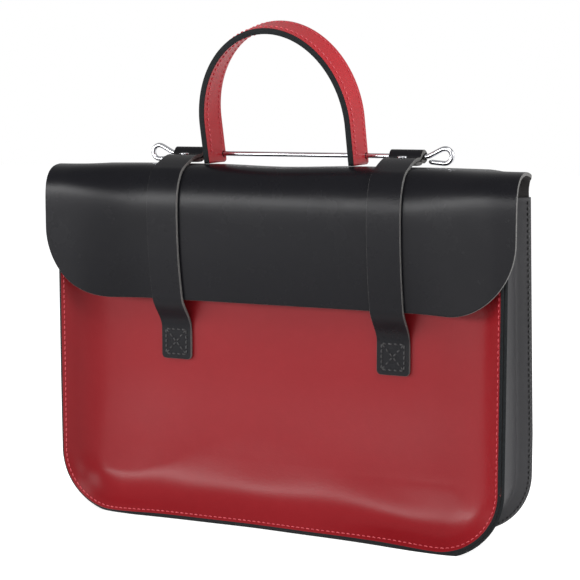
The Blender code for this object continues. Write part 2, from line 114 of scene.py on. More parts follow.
# the same along the base, which shrinks towards both ends
BASE_ROLL, BASE_LOSS_RIGHT, BASE_LOSS_LEFT = 0.98, 0.50, 0.40
BASE_SPAN_RIGHT = (0.030, 0.120)
BASE_SPAN_LEFT = (-0.030, -0.140)
BASE_HIGH = 0.072               # height up to which the base has filled out
BASE_DROP = 0.040               # of that height towards the ends
BASE_FILL = 0.15                # share of the depth that is filled there
LEFT_FILL = 0.10                # more of it towards the left end
RIGHT_FILL = -0.12              # less of it towards the right end
FILL_SPAN_LEFT = (-0.020, -0.140)
FILL_SPAN_RIGHT = (-0.030, 0.120)
LEFT_LEAN = 0.20                # share of the depth lost lower down, at the left
RIGHT_LEAN = 0.17               # and at the right
LEAN_SPAN_LEFT = (-0.020, -0.160)
LEAN_SPAN_RIGHT = (-0.080, 0.150)
LEAN_SPAN_LOW = (0.125, 0.0)

# the back panel's dish, and the rear rim, which leans forward
REAR_DISH = 0.0124
REAR_BAND = 0.020               # width of its rounded wall
REAR_FILL_IN = 0.070            # over which the hide fills out again higher up
REAR_FILL_Z = (0.080, 0.260)
REAR_LEAN = 0.0905              # forward for each unit of height
LEAN_Z = 0.080                  # above which the rear rim leans
BACK_TOP = 0.262                # where the back panel turns over the top

# the gusset
GUSSET_WEB = 0.0089             # how far its middle lies inside the rims
GUSSET_BEND = 0.0135            # depth of its flanges
GUSSET_EASE = 0.004             # over which a flange turns into the web
GUSSET_CLIMB = 0.180            # height from which its rear side stands higher
# distances inside the rims at which its flanges are laid, front to rear
FRONT_STATIONS = (0.0, 0.0015, 0.003, 0.0048)
REAR_STATIONS = (0.0085, 0.006, 0.003, 0.0)

# ------------------------------------------------------------ top and flap
TOP_TURN = 0.6                  # share of the top's run that its rear shoulder takes
TOP_SHOULDER = 0.018            # depth of that shoulder
TOP_CROWN = 0.0004              # of the top's middle above the hinge line
TOP_SAG = 0.0014                # under the handle
END_SAG = 0.0008                # of the top's ends
END_SPAN = (0.120, 0.200)
TOP_DROP = 0.50                 # droop of the free ends to the rear
DROP_SPAN = (0.163, 0.200)
DROP_START, DROP_RUN = -0.018, 0.050    # from front to rear
SHOULDER = 0.250                # height at which the flap hangs straight
FLAP_CORNER = 0.057
FLAP_ROUND = 0.87               # power of the flap's bend: 1 is a quarter ellipse
FLAP_END_FOLD = 0.30            # how much tighter the ends are folded
FLAP_FRONT = FRONT_Y + 0.0071
FLAP_TUCK = 0.008               # of the lower edge towards the panel
FLAP_END = 0.0105               # how far the rims push the flap's ends forward
FLAP_END_SPAN = (0.110, 0.185)
LOW_ROWS, BACK_ROWS = 1.35, 1.3     # crowd the panels' rows towards the bottom

# ------------------------------------------------------------ straps and rivets
STRAP_THICK = 0.0028
STRAP_LIFT = 0.0019             # middle of the strap above the flap's face
STRAP_JOIN = 0.182              # height at which the strap meets the flap
STRAP_LEAVES = math.radians(34.0)   # round the flap's bend, where the strap leaves it
STRAP_ARCH = 0.45               # how much of its way to the loop is arched
LOOP_R = 0.0041                 # of the strap's middle round the bar
LOOP_RISE = 0.0062              # of the riveted stretch above the top
LOOP_ANGLE = 130.0              # degrees to each side of the rear
LOOP_START = 0.005              # behind the rivet
TAIL_END = 0.0035               # in front of it
RIVET_SEAT = 0.0040             # flat stretch in front of it
TAB_CORNER = 0.0035
CAP_R = 0.0041
CAP_RISE = 0.0014
SHANK_R = 0.0015
WASHER_R = 0.0026
WASHER_THICK = 0.0007

# ------------------------------------------------------------ bar and handle
BAR_SHANK = 0.112               # half of its straight run
EYE_X = 0.1254
EYE_RISE = 0.0005
EYE_R = 0.0058
EYE_TURN = (122.0, -106.0)      # degrees where the eye starts and ends
EYE_TIP = (0.1126, -0.0041)
HANDLE_X = -0.005
LEAN = math.radians(13.8)       # of the handle, forward
HANDLE_HALF = 0.0628
HANDLE_RISE = 0.0754            # of the arch above its legs
HANDLE_LEG = 0.0292
HANDLE_FRONT = -0.0260          # edges across the ribbon, from the bar's axis
HANDLE_REAR = 0.0042
HANDLE_FOOT = 0.0070            # end of a leg below the bar's axis
HANDLE_FOOT_RISE = 0.0059       # of that end at the front edge
HANDLE_THICK = 0.0048
LEG_POINTS, CROWN_POINTS = 16, 110
EDGE_ROUND = 0.0006             # rounding of the ribbon's edges
PLY_EDGE = 0.0007               # from the middle to each groove between plies
PLY_GROOVE = 0.00012
GROOVE_WIDTH = 0.00018
BAR_HOLE_R = BAR_R + 0.0006

# ------------------------------------------------------------ sewing
STITCH_PITCH = 0.0043
THREAD_R = 0.00048
BOLD_THREAD_R = 0.00085         # on the rear rim's inner side
TAB_THREAD_R = 0.00066          # on the straps' sewn ends and the handle's front
# size of the near-black cone of painted shade at each stitch hole
AWL_LONG, AWL_WIDE = 0.00050, 0.00034
SEAM_INSET = 0.0017             # of the rims' seams
REAR_SEAM_TOP = 0.265
TAB_INSET = 0.0040              # of the box sewn through a strap's end
TAB_SEAM_DROP = 0.0012          # of its upper row below the joint
HANDLE_SEAM_INSET = 0.0062      # of the handle's front row
REAR_SEAM_INSET = 0.0045        # of its rear row
HANDLE_SEAM_LOW = 0.005         # lower end of both

# ------------------------------------------------------------ camera, floor and light
CAMERA_AT = (0.5265, -1.1212, 0.335)
CAMERA_DOWN, CAMERA_TURN = math.radians(6.79), math.radians(25.06)
CAMERA_LENS = 97.14
FLOOR_GLOW = 0.60               # of the floor as the camera sees it
FLOOR_HAZE = 0.25               # the same glow as it lights and is reflected
ROOM_LIGHT = 0.48
ROOM_SEEN = 1.0                 # the room as the camera sees it
SOFTBOXES = (                   # name, place, aim, size and power
    ("key_softbox", (-1.20, -1.42, 0.52), (0.0, 0.0, 0.20), (2.3, 0.33), 37.0),
    ("top_softbox", (0.60, -0.90, 1.60), (0.0, 0.0, 0.15), (0.9, 0.9), 11.0),
    ("side_softbox", (1.90, -0.10, 0.90), (0.0, 0.0, 0.25), (1.0, 1.0), 24.0),
    ("rear_softbox", (1.70, 1.10, 0.60), (0.0, 0.0, 0.20), (1.3, 1.3), 7.0),
)


def ease(t):
    t = np.clip(t, 0.0, 1.0)
    return t * t * (3.0 - 2.0 * t)


def between(value, start, end):
    """How far a value is from start to end, eased: 0 before start and 1 past end."""
    return ease((value - start) / (end - start))


# ------------------------------------------------------------ materials
class Nodes:
    """A short hand for building a material's node tree."""

    def __init__(self, name):
        self.material = bpy.data.materials.new(name)
        self.material.use_nodes = True
        self.tree = self.material.node_tree
        self.shader = self.tree.nodes["Principled BSDF"]
        self.place = self.add("ShaderNodeTexCoord").outputs["Object"]

    def add(self, kind, **values):
        node = self.tree.nodes.new(kind)
        for key, value in values.items():
            setattr(node, key, value)
        return node

    def link(self, source, target):
        self.tree.links.new(source, target)

    def noise(self, scale, detail=3.0, roughness=0.5, stretch=None):
        node = self.add("ShaderNodeTexNoise")
        node.inputs["Scale"].default_value = scale
        node.inputs["Detail"].default_value = detail
        node.inputs["Roughness"].default_value = roughness
        self.link(self.stretched(stretch), node.inputs["Vector"])
        return node.outputs["Fac"]

    def cells(self, scale):
        node = self.add("ShaderNodeTexVoronoi", feature="F1")
        node.inputs["Scale"].default_value = scale
        self.link(self.place, node.inputs["Vector"])
        return node.outputs["Distance"]

    def stretched(self, stretch):
        if stretch is None:
            return self.place
        mapping = self.add("ShaderNodeMapping")
        mapping.inputs["Scale"].default_value = stretch
        self.link(self.place, mapping.inputs["Vector"])
        return mapping.outputs["Vector"]

    def ramp(self, source, low, high, out_low, out_high):
        node = self.add("ShaderNodeMapRange")
        for name, value in (("From Min", low), ("From Max", high),
                            ("To Min", out_low), ("To Max", out_high)):
            node.inputs[name].default_value = value
        self.link(source, node.inputs["Value"])
        return node.outputs["Result"]

    def mix(self, factor, first, second):
        node = self.add("ShaderNodeMix", data_type="RGBA")
        self.link(factor, node.inputs["Factor"])
        for socket, value in (("A", first), ("B", second)):
            target = [s for s in node.inputs if s.name == socket and s.type == "RGBA"][0]
            if isinstance(value, tuple):
                target.default_value = value
            else:
                self.link(value, target)
        return [s for s in node.outputs if s.type == "RGBA"][0]

    def bump(self, height, distance, strength, below=None):
        node = self.add("ShaderNodeBump")
        node.inputs["Distance"].default_value = distance
        node.inputs["Strength"].default_value = strength
        self.link(height, node.inputs["Height"])
        if below is not None:
            self.link(below, node.inputs["Normal"])
        return node.outputs["Normal"]

    def finish(self, color, roughness, normal, **values):
        self.link(color, self.shader.inputs["Base Color"])
        self.link(roughness, self.shader.inputs["Roughness"])
        if normal is not None:
            self.link(normal, self.shader.inputs["Normal"])
        for name, value in values.items():
            self.shader.inputs[name.replace("_", " ")].default_value = value
        return self.material


def hide(name, base, deep, light, rough, grain, gloss=1.31):
    """Smooth dyed hide: cloudy dye, fine wrinkles and pores."""
    n = Nodes(name)
    clouds = n.noise(9.0, 4.0, 0.55)
    mottle = n.noise(140.0, 3.0, 0.6)
    pores = n.cells(1500.0)
    wrinkle = n.noise(520.0, 4.0, 0.6)
    tone = n.mix(n.ramp(clouds, 0.35, 0.68, 0.0, 1.0), deep, base)
    tone = n.mix(n.ramp(mottle, 0.45, 0.80, 0.0, 0.30), tone, light)
    roughness = n.ramp(n.noise(38.0, 4.0, 0.6), 0.3, 0.7, rough - 0.015, rough + 0.020)
    normal = n.bump(n.noise(30.0, 3.0, 0.5), 0.00022, 0.30)
    normal = n.bump(wrinkle, 0.00006 * grain, 0.8, normal)
    normal = n.bump(pores, 0.00004 * grain, 0.7, normal)
    return n.finish(tone, roughness, normal, IOR=gloss)


def cut_edge(name, base, light):
    """The cut edge of a hide: short fibres in layers, inked and burnished."""
    n = Nodes(name)
    fibres = n.noise(900.0, 4.0, 0.7)
    layers = n.noise(260.0, 3.0, 0.6, stretch=(0.3, 1.0, 1.0))
    tone = n.mix(n.ramp(fibres, 0.35, 0.75, 0.0, 1.0), base, light)
    roughness = n.ramp(layers, 0.3, 0.7, 0.50, 0.70)
    normal = n.bump(fibres, 0.00010, 0.7)
    return n.finish(tone, roughness, normal, IOR=1.18)


def sewing_thread(name, base, light):
    """Waxed thread: two plies twisted together."""
    n = Nodes(name)
    twist = n.add("ShaderNodeTexWave", wave_type="BANDS", bands_direction="DIAGONAL")
    twist.inputs["Scale"].default_value = 420.0
    twist.inputs["Distortion"].default_value = 1.5
    n.link(n.place, twist.inputs["Vector"])
    tone = n.mix(n.ramp(n.noise(300.0), 0.35, 0.7, 0.0, 1.0), base, light)
    roughness = n.ramp(n.noise(500.0), 0.3, 0.7, 0.45, 0.62)
    normal = n.bump(twist.outputs["Fac"], 0.00008, 0.6)
    return n.finish(tone, roughness, normal, Sheen_Weight=0.04)


def plated_steel(name):
    """Polished nickel plate with fine draw marks and a little haze."""
    n = Nodes(name)
    haze = n.noise(60.0, 4.0, 0.6)
    marks = n.noise(700.0, 3.0, 0.6, stretch=(0.05, 1.0, 1.0))
    tone = n.mix(n.ramp(haze, 0.3, 0.7, 0.0, 1.0), (0.56, 0.57, 0.60, 1.0),
                 (0.66, 0.66, 0.69, 1.0))
    roughness = n.ramp(haze, 0.3, 0.75, 0.13, 0.22)
    normal = n.bump(marks, 0.00002, 0.5)
    return n.finish(tone, roughness, normal, Metallic=1.0)


RED_HIDE = hide("red_hide", (0.190, 0.0078, 0.0112, 1.0), (0.176, 0.0068, 0.0098, 1.0),
                (0.208, 0.0100, 0.0138, 1.0), 0.31, 1.0, 1.26)
HANDLE_HIDE = hide("handle_hide", (0.350, 0.0150, 0.0210, 1.0), (0.315, 0.0120, 0.0170, 1.0),
                   (0.400, 0.0220, 0.0290, 1.0), 0.34, 1.8, 1.27)
BLACK_HIDE = hide("black_hide", (0.0052, 0.0052, 0.0068, 1.0), (0.0044, 0.0044, 0.0058, 1.0),
                  (0.0068, 0.0068, 0.0084, 1.0), 0.265, 1.0, 1.23)
STRAP_HIDE = hide("strap_hide", (0.0056, 0.0056, 0.0072, 1.0), (0.0046, 0.0046, 0.0060, 1.0),
                  (0.0076, 0.0076, 0.0092, 1.0), 0.275, 1.3, 1.23)
GUSSET_HIDE = hide("gusset_hide", (0.0260, 0.0255, 0.0280, 1.0), (0.0220, 0.0215, 0.0235, 1.0),
                   (0.0340, 0.0335, 0.0360, 1.0), 0.50, 1.2, 1.34)
SUEDE = hide("flesh_side", (0.030, 0.028, 0.028, 1.0), (0.022, 0.021, 0.021, 1.0),
             (0.050, 0.047, 0.046, 1.0), 0.80, 4.0)
RED_FLESH = hide("red_flesh_side", (0.200, 0.060, 0.055, 1.0), (0.150, 0.042, 0.040, 1.0),
                 (0.270, 0.100, 0.090, 1.0), 0.82, 4.0)
INKED_EDGE = cut_edge("inked_edge", (0.005, 0.006, 0.007, 1.0), (0.013, 0.015, 0.016, 1.0))
GREY_EDGE = cut_edge("grey_cut_edge", (0.080, 0.079, 0.077, 1.0), (0.180, 0.177, 0.173, 1.0))
RED_THREAD = sewing_thread("red_thread", (0.400, 0.026, 0.040, 1.0), (0.520, 0.070, 0.085, 1.0))
BLACK_THREAD = sewing_thread("black_thread", (0.010, 0.010, 0.011, 1.0),
                             (0.032, 0.032, 0.034, 1.0))
STEEL = plated_steel("nickel_plate")
# painted shade: near-black colour for the awl holes, put on a cone poking through the hide instead
# of a cut hole
AWL_HOLE_SHADE = cut_edge("awl_mark", (0.010, 0.008, 0.008, 1.0), (0.018, 0.014, 0.014, 1.0))


# ------------------------------------------------------------ mesh helpers
def add_mesh(name, points, faces, materials, slots=None):
    mesh = bpy.data.meshes.new(name)
    mesh.from_pydata([tuple(p) for p in points], [], faces)
    for material in materials:
        mesh.materials.append(material)
    if slots is not None:
        mesh.polygons.foreach_set("material_index", slots)
    mesh.shade_smooth()
    item = bpy.data.objects.new(name, mesh)
    bpy.context.scene.collection.objects.link(item)
    return item


def facing(point):
    """Unit normals of a grid of points."""
    normal = np.cross(np.gradient(point, axis=1), np.gradient(point, axis=0))
    return normal / np.linalg.norm(normal, axis=-1, keepdims=True)


def smooth(points, passes, axis=0):
    """Averages neighbouring points along an axis; the end points stay."""
    points = np.moveaxis(np.array(points, dtype=float), axis, 0)
    for _ in range(passes):
        points[1:-1] = 0.25 * (points[:-2] + 2.0 * points[1:-1] + points[2:])
    return np.moveaxis(points, 0, axis)


def resample(points, count):
    """Evenly spaced points along a line."""
    points = np.asarray(points, dtype=float)
    steps = np.linalg.norm(np.diff(points, axis=0), axis=1)
    along = np.concatenate([[0.0], np.cumsum(steps)])
    at = np.linspace(0.0, along[-1], count)
    return np.stack([np.interp(at, along, points[:, k]) for k in range(points.shape[1])], -1)


def length_of(points):
    return float(np.linalg.norm(np.diff(points, axis=0), axis=1).sum())


def slab(name, point, thickness, materials):
    """A hide of even thickness behind a grid of points, with a rounded cut edge.
    Materials are the face, the edge and the back."""
    rows, columns = point.shape[:2]
    normal = facing(point)
    back = point - normal * thickness
    count = rows * columns
    points = [point.reshape(-1, 3), back.reshape(-1, 3)]

    def index(i, j):
        return i * columns + j

    i, j = np.meshgrid(np.arange(rows - 1), np.arange(columns - 1), indexing="ij")
    corners = [index(i, j), index(i, j + 1), index(i + 1, j + 1), index(i + 1, j)]
    front = np.stack([c.ravel() for c in corners], -1)
    faces = front.tolist() + (front[:, ::-1] + count).tolist()
    slots = [0] * len(front) + [2] * len(front)

    loop = [(0, k) for k in range(columns - 1)]
    loop += [(k, columns - 1) for k in range(rows - 1)]
    loop += [(rows - 1, k) for k in range(columns - 1, 0, -1)]
    loop += [(k, 0) for k in range(rows - 1, 0, -1)]
    ids = np.array([index(*p) for p in loop])
    edge = points[0][ids]
    up = normal.reshape(-1, 3)[ids]
    tangent = np.roll(edge, -1, 0) - np.roll(edge, 1, 0)
    tangent /= np.linalg.norm(tangent, axis=1, keepdims=True)
    outward = np.cross(tangent, up)
    rings = [ids]
    start = 2 * count
    for k in range(1, EDGE_STEPS):
        angle = math.pi * k / EDGE_STEPS
        bulge = EDGE_SWELL * thickness * math.sin(angle) ** 0.75
        depth = 0.5 * thickness * (1.0 - math.cos(angle))
        points.append(edge + outward * bulge - up * depth)
        rings.append(np.arange(start, start + len(ids)))
        start += len(ids)
    rings.append(ids + count)
    for upper, lower in zip(rings, rings[1:]):
        quads = np.stack([np.roll(upper, -1), upper, lower, np.roll(lower, -1)], -1)
        faces += quads.tolist()
        slots += [1] * len(quads)
    points = np.concatenate(points)
    points[:, 2] = np.maximum(points[:, 2], 0.0)
    return add_mesh(name, points, faces, materials, slots)


def rounded(points, passes):
    """Cuts the corners of lines that run along axis 1 until they are round."""
    for _ in range(passes):
        first, last = points[:, :1], points[:, -1:]
        near = 0.75 * points[:, :-1] + 0.25 * points[:, 1:]
        far = 0.25 * points[:, :-1] + 0.75 * points[:, 1:]
        between = np.stack([near, far], 2).reshape(len(points), -1, 3)
        points = np.concatenate([first, between[:, 1:-1], last], 1)
    return points


def rings_mesh(rings):
    """Points and faces of a closed skin over rings of equal size, with flat ends."""
    size = len(rings[0])
    faces = []
    k = np.arange(size)
    for i in range(len(rings) - 1):
        a, b = i * size + k, i * size + (k + 1) % size
        faces += np.stack([a, b, b + size, a + size], -1).tolist()
    last = (len(rings) - 1) * size
    faces += [list(range(size))[::-1], list(range(last, last + size))]
    return np.concatenate(rings), faces


def add_rod(name, radius, x_middle, half, material):
    """A plain rod along the bar's axis, used for cutting."""
    turn = np.linspace(0.0, 2.0 * np.pi, 33)[:-1]
    rings = [np.stack([x_middle + side * half + 0.0 * turn, BAR_Y + radius * np.cos(turn),
                       BAR_Z + radius * np.sin(turn)], -1) for side in (-1.0, 1.0)]
    points, faces = rings_mesh(rings)
    return add_mesh(name, points, faces, [material])


def apply_modifiers(item):
    graph = bpy.context.evaluated_depsgraph_get()
    mesh = bpy.data.meshes.new_from_object(item.evaluated_get(graph))
    item.modifiers.clear()
    item.data = mesh


# ------------------------------------------------------------ the bag's surfaces
def rim_distance(x, z):
    across = np.maximum(0.0, 1.0 - (RIM_X - np.abs(x)) / RIM_R)
    down = np.maximum(0.0, 1.0 - (z - RIM_Z) / RIM_R)
    return RIM_R * (1.0 - np.minimum(1.0, np.hypot(across, down)))


def lift(x, z):
    """The front rim's lower edge stands just clear of the floor in the middle."""
    return RIM_LIFT * between(np.abs(x), *LIFT_X) * between(z, *LIFT_Z)


def sink(distance, band):
    """Share of the back panel's dish at a distance inside its rim."""
    t = np.clip(distance / band, -0.2, 1.0)
    return 1.5 * t - 0.5 * t ** 3


def front_roll(x, z):
    """Relative width of the wall inside the front rim: even up the sides, loose and
    wavy along the bottom, where the hide has settled."""
    side = SIDE_ROLL + SIDE_ROLL_GAIN * between(x, *SIDE_ROLL_SPAN)
    base = BASE_ROLL - BASE_LOSS_RIGHT * between(x, *BASE_SPAN_RIGHT)
    base = base - BASE_LOSS_LEFT * between(x, *BASE_SPAN_LEFT)
    across = np.clip((np.abs(x) - RIM_X + RIM_R) / RIM_R, 0.0, 1.0)
    down = np.clip((RIM_Z + RIM_R - z) / RIM_R, 0.0, 1.0)
    share = down ** 2 / (across ** 2 + down ** 2 + 0.02)
    return side + (base - side) * share


def wall_profile(flare):
    """Depth and slope across the front's wall; flare is how much of the wall's angle
    its edge already has at the rim."""
    across = np.linspace(0.0, 2.0 * RIM_R, 800)
    angle = WALL_ANGLE / (1.0 + np.exp((across - WALL_WIDTH) / WALL_FADE))
    slope = np.tan(angle * (flare + (1.0 - flare) * ease(across / FLARE_WIDTH)))
    depth = np.cumsum(slope) * across[1]
    scale = (FRONT_DISH - PANEL_LEAN) / depth[-1]
    return across, depth * scale, slope * scale


STEEP_WALL = wall_profile(RIM_FLARE)
LEFT_WALL = wall_profile(LEFT_FLARE)


def front_dish(distance, x, z):
    """Depth and slope of the front panel inside its rim: a steep wall that rounds
    off into the flat middle, shallower where the hide has filled out at the base."""
    roll = front_roll(x, z)
    left = between(x, *LEFT_SPAN)
    to_left, to_right = between(x, *FILL_SPAN_LEFT), between(x, *FILL_SPAN_RIGHT)
    high = BASE_HIGH - BASE_DROP * (to_left + to_right)
    fill = BASE_FILL + LEFT_FILL * to_left + RIGHT_FILL * to_right
    full = 1.0 - fill * between(z, high, 0.0)
    wide = RIGHT_LEAN * between(x, *LEAN_SPAN_RIGHT) + LEFT_LEAN * between(x, *LEAN_SPAN_LEFT)
    full = full - wide * between(z, *LEAN_SPAN_LOW)
    depth, slope = (full * ((1.0 - left) * np.interp(distance / roll, STEEP_WALL[0], a)
                            + left * np.interp(distance / roll, LEFT_WALL[0], b))
                    for a, b in zip(STEEP_WALL[1:], LEFT_WALL[1:]))
    inside = ease((RIM_X - np.abs(x)) / LEAN_SPAN_IN)
    return depth + PANEL_LEAN * between(z, *LEAN_SPAN_Z) * inside, slope / roll


def rear_dish(distance, x, z):
    t = np.clip(distance / REAR_BAND, 0.0, 1.0)
    slope = REAR_DISH / REAR_BAND * 1.5 * (1.0 - t * t)
    return REAR_DISH * sink(distance, REAR_BAND) + 0.0 * x, slope + 0.0 * z


def front_rim(z):
    return FRONT_Y + 0.0 * z


def rear_rim(z):
    return REAR_Y - REAR_LEAN * np.maximum(0.0, z - LEAN_Z)


def sway(x, z):
    """The front rim isn't quite straight along the floor."""
    wave = sum(depth * np.exp(-((x - middle) / width) ** 2) for depth, middle, width in RIM_WAVES)
    return wave * between(z, *WAVE_Z)


def front_face(x, z):
    return FRONT_Y + front_dish(rim_distance(x, z), x, z)[0] + sway(x, z)


def back_face(x, z):
    inside = ease((RIM_X - np.abs(x) - REAR_BAND) / REAR_FILL_IN)
    filled = inside * between(z, *REAR_FILL_Z)
    return rear_rim(z) - REAR_DISH * (sink(rim_distance(x, z), REAR_BAND) - filled)


def rim_bottom(x, half, radius, low):
    """Lower outline of a panel with round corners."""
    inside = np.maximum(0.0, np.abs(x) - half + radius)
    return low + radius - np.sqrt(np.maximum(0.0, radius ** 2 - inside ** 2))


def columns_of(half, count):
    """Places across a panel, closer together towards its sides."""
    return half * np.sin(0.5 * np.pi * np.linspace(-1.0, 1.0, count))


def under_rim(distance, dish, offset, x, z):
    """Places this far from a panel's face, measured square to it: how far outside
    the rim, how far behind the rim plane, and the panel's slope there."""
    depth, slope = dish(distance, x, z)
    length = np.hypot(slope, 1.0)
    return offset * slope / length - distance, depth + offset / length, slope


def rim_route(top):
    """Places round a rim, left top to right top: x, z and the outward normal."""
    low, half = RIM_Z + RIM_R, RIM_X - RIM_R
    side = [(-RIM_X, z, -1.0, 0.0) for z in np.linspace(top, low, 60, endpoint=False)]
    turn = [(-half + RIM_R * math.cos(a), low + RIM_R * math.sin(a), math.cos(a), math.sin(a))
            for a in np.linspace(math.pi, 1.5 * math.pi, 40, endpoint=False)]
    base = [(x, RIM_Z, 0.0, -1.0) for x in np.linspace(-half, 0.0, 60)]
    left = np.array(side + turn + base)
    return np.concatenate([left, left[-2::-1] * (-1.0, 1.0, -1.0, 1.0)])


# ------------------------------------------------------------ the body
def make_front_panel():
    x = columns_of(RIM_X, 301)
    low = rim_bottom(x, RIM_X, RIM_R, RIM_Z)
    z = low + (FRONT_TOP - low) * np.linspace(0.0, 1.0, 151)[:, None] ** LOW_ROWS
    x = np.broadcast_to(x, z.shape)
    point = np.stack([x, front_face(x, z), z + lift(x, z)], -1)
    item = slab("front_panel_hide", point, LEATHER, [RED_HIDE, INKED_EDGE, RED_FLESH])
    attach(item, "bag")
    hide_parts("front_panel")


def make_gusset():
    """A strip with a flange along each rim; its middle lies inside them."""
    route = rim_route(FRONT_TOP)
    x, z, nx, nz = route.T
    climb = np.maximum(0.0, (z - GUSSET_CLIMB) / (FRONT_TOP - GUSSET_CLIMB))
    rise = (REAR_SEAM_TOP - FRONT_TOP) * climb
    back = rear_rim(z + rise)
    web = LEATHER - GUSSET_WEB
    behind = front_dish(GUSSET_WEB + LEATHER, x, z)[0] + 2.5 * LEATHER
    near = FRONT_Y + np.maximum(GUSSET_BEND + GUSSET_EASE, behind)
    stations = []
    for distance in FRONT_STATIONS:
        out, into, _ = under_rim(distance, front_dish, 2.0 * LEATHER + GAP, x, z)
        stations.append((out, FRONT_Y + into + sway(x, z), lift(x, z)))
    stations += [(web, near, 0.35 * rise), (web, near + GUSSET_EASE, 0.55 * rise)]
    stations += [(web, 0.5 * (near + back), 1.1 * rise)]
    far = back - GUSSET_BEND
    stations += [(web, far - 0.5 * GUSSET_EASE, rise), (web, far, rise)]
    for distance in REAR_STATIONS:
        out, into, _ = under_rim(distance, rear_dish, 2.0 * LEATHER + GAP, x, z)
        stations.append((out, back - into, rise))
    profile = [np.stack([x + out * nx, y + 0.0 * x, z + out * nz + up], -1)
               for out, y, up in stations]
    point = rounded(np.stack(profile, 1), 3)
    item = slab("gusset_hide", point, LEATHER - 0.0002, [GUSSET_HIDE, INKED_EDGE, SUEDE])
    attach(item, "bag")
    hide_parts("gusset")


# ------------------------------------------------------------ back, top and flap
def top_profile(t):
    """Outer surface over the bag's top, from the back panel to the flap's bend."""
    start = rear_rim(BACK_TOP)
    angle = 0.5 * np.pi * np.minimum(1.0, t / TOP_TURN)
    share = np.maximum(0.0, (t - TOP_TURN) / (1.0 - TOP_TURN))
    y = start - TOP_SHOULDER * (1.0 - np.cos(angle))
    y = y + (HINGE_Y - start + TOP_SHOULDER) * share
    return y, BACK_TOP + (TOP_Z - BACK_TOP) * np.sin(angle)


def flap_turn(angle, end):
    """Outer surface from the bend (0) to the shoulder (a right angle)."""
    reach = HINGE_Y - FLAP_FRONT + FLAP_END * end
    fold = FLAP_ROUND - FLAP_END_FOLD * end
    y = HINGE_Y - reach * np.sin(angle) ** fold
    return y, SHOULDER + (TOP_Z - SHOULDER) * np.cos(angle) ** fold


def flap_front(z, end):
    """Outer surface of the hanging front; end is 1 over the rims at the sides."""
    tuck = FLAP_TUCK * ((SHOULDER - z) / (SHOULDER - FLAP_LOW)) ** 2
    return FLAP_FRONT + tuck - end * (FLAP_END + tuck)


def settle(x, y, z):
    """Height of the top hide once it has settled: crowned, sagging under the handle,
    its free ends drooping to the rear."""
    high = z - BACK_TOP
    share = ease(high / (TOP_Z - BACK_TOP))
    sag = TOP_SAG * ease(1.0 - np.abs(x - HANDLE_X) / HANDLE_HALF)
    ends = END_SAG * between(np.abs(x), *END_SPAN)
    rear = np.clip((y - DROP_START) / DROP_RUN, 0.0, 1.0) ** 1.25
    droop = TOP_DROP * rear * between(np.abs(x), *DROP_SPAN)
    return z + share * (TOP_CROWN - sag - ends) - droop * np.maximum(high, 0.0)


def make_black_hide():
    """The back panel, the top and the flap: one sheet, bent at the flap's hinge."""
    share = np.sin(0.5 * np.pi * np.linspace(1.0, -1.0, 261))
    x = RIM_X * share
    low = rim_bottom(x, RIM_X, RIM_R, RIM_Z)
    z = low + (BACK_TOP - low) * np.linspace(0.0, 1.0, 120)[:, None] ** BACK_ROWS
    across = np.broadcast_to(x, z.shape)
    rows = [np.stack([across, back_face(across, z), z], -1)]

    t = np.linspace(0.0, 1.0, 40)[1:, None]
    y, z = top_profile(t)
    edge = back_face(x, BACK_TOP) - rear_rim(BACK_TOP)
    widen = 1.0 + (FLAP_X / RIM_X - 1.0) * ease(t)
    y = y + edge * (1.0 - t) ** 2
    rows.append(np.stack([x * widen, y, z + 0.0 * y], -1))

    x = FLAP_X * share
    end = between(np.abs(x), *FLAP_END_SPAN)
    y, z = flap_turn(0.5 * np.pi * np.linspace(0.0, 1.0, 40)[1:, None], end)
    rows.append(np.stack(np.broadcast_arrays(x, y, z), -1))
    low = rim_bottom(x, FLAP_X, FLAP_CORNER, FLAP_LOW)
    z = SHOULDER + (low - SHOULDER) * np.linspace(0.0, 1.0, 46)[1:, None]
    rows.append(np.stack(np.broadcast_arrays(x, flap_front(z, end), z), -1))

    point = smooth(np.concatenate(rows), 4)
    point[..., 2] = settle(*np.moveaxis(point, -1, 0))
    item = slab("back_and_flap_hide", point, LEATHER, [BLACK_HIDE, GREY_EDGE, SUEDE])
    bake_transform(item)
    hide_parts("back_panel", "flap")


# ------------------------------------------------------------ straps
def strap_line():
    """(y, z) of the middle of a strap: up from its sewn end, over the flap, round the
    bar and back under itself."""
    foot = TAB_Y + 0.5 * STRAP_THICK
    path = [(foot, z) for z in np.linspace(TAB_LOW, TAB_TOP, 12)]
    for t in np.linspace(0.0, 1.0, 12)[1:]:
        z = TAB_TOP + (STRAP_JOIN - TAB_TOP) * t
        path.append((foot + (flap_front(STRAP_JOIN, 0.0) - STRAP_LIFT - foot) * ease(t), z))
    path += [(flap_front(z, 0.0) - STRAP_LIFT, z)
             for z in np.linspace(STRAP_JOIN, SHOULDER, 20)[1:]]
    for angle in np.linspace(0.5 * math.pi, STRAP_LEAVES, 18)[1:]:
        y, z = flap_turn(angle, 0.0)
        path.append((y - STRAP_LIFT * math.sin(angle), z + STRAP_LIFT * math.cos(angle)))
    y, z = path[-1]
    high = TOP_Z + LOOP_RISE
    span = RIVET_Y - RIVET_SEAT - y
    for t in np.linspace(0.0, 1.0, 14)[1:]:
        rise = (1.0 - STRAP_ARCH) * t + STRAP_ARCH * math.sin(0.5 * math.pi * t)
        path.append((y + span * t, z + (high - z) * rise))
    path.append((RIVET_Y + LOOP_START, high + 0.0002))
    path += [(BAR_Y + LOOP_R * math.cos(a), BAR_Z + LOOP_R * math.sin(a))
             for a in np.radians(np.linspace(LOOP_ANGLE, -LOOP_ANGLE, 25))]
    under = high - STRAP_THICK
    path += [(RIVET_Y + LOOP_START, under - GAP), (RIVET_Y - TAIL_END, under - GAP - 0.0002)]
    return smooth(resample(path, 420), 10)


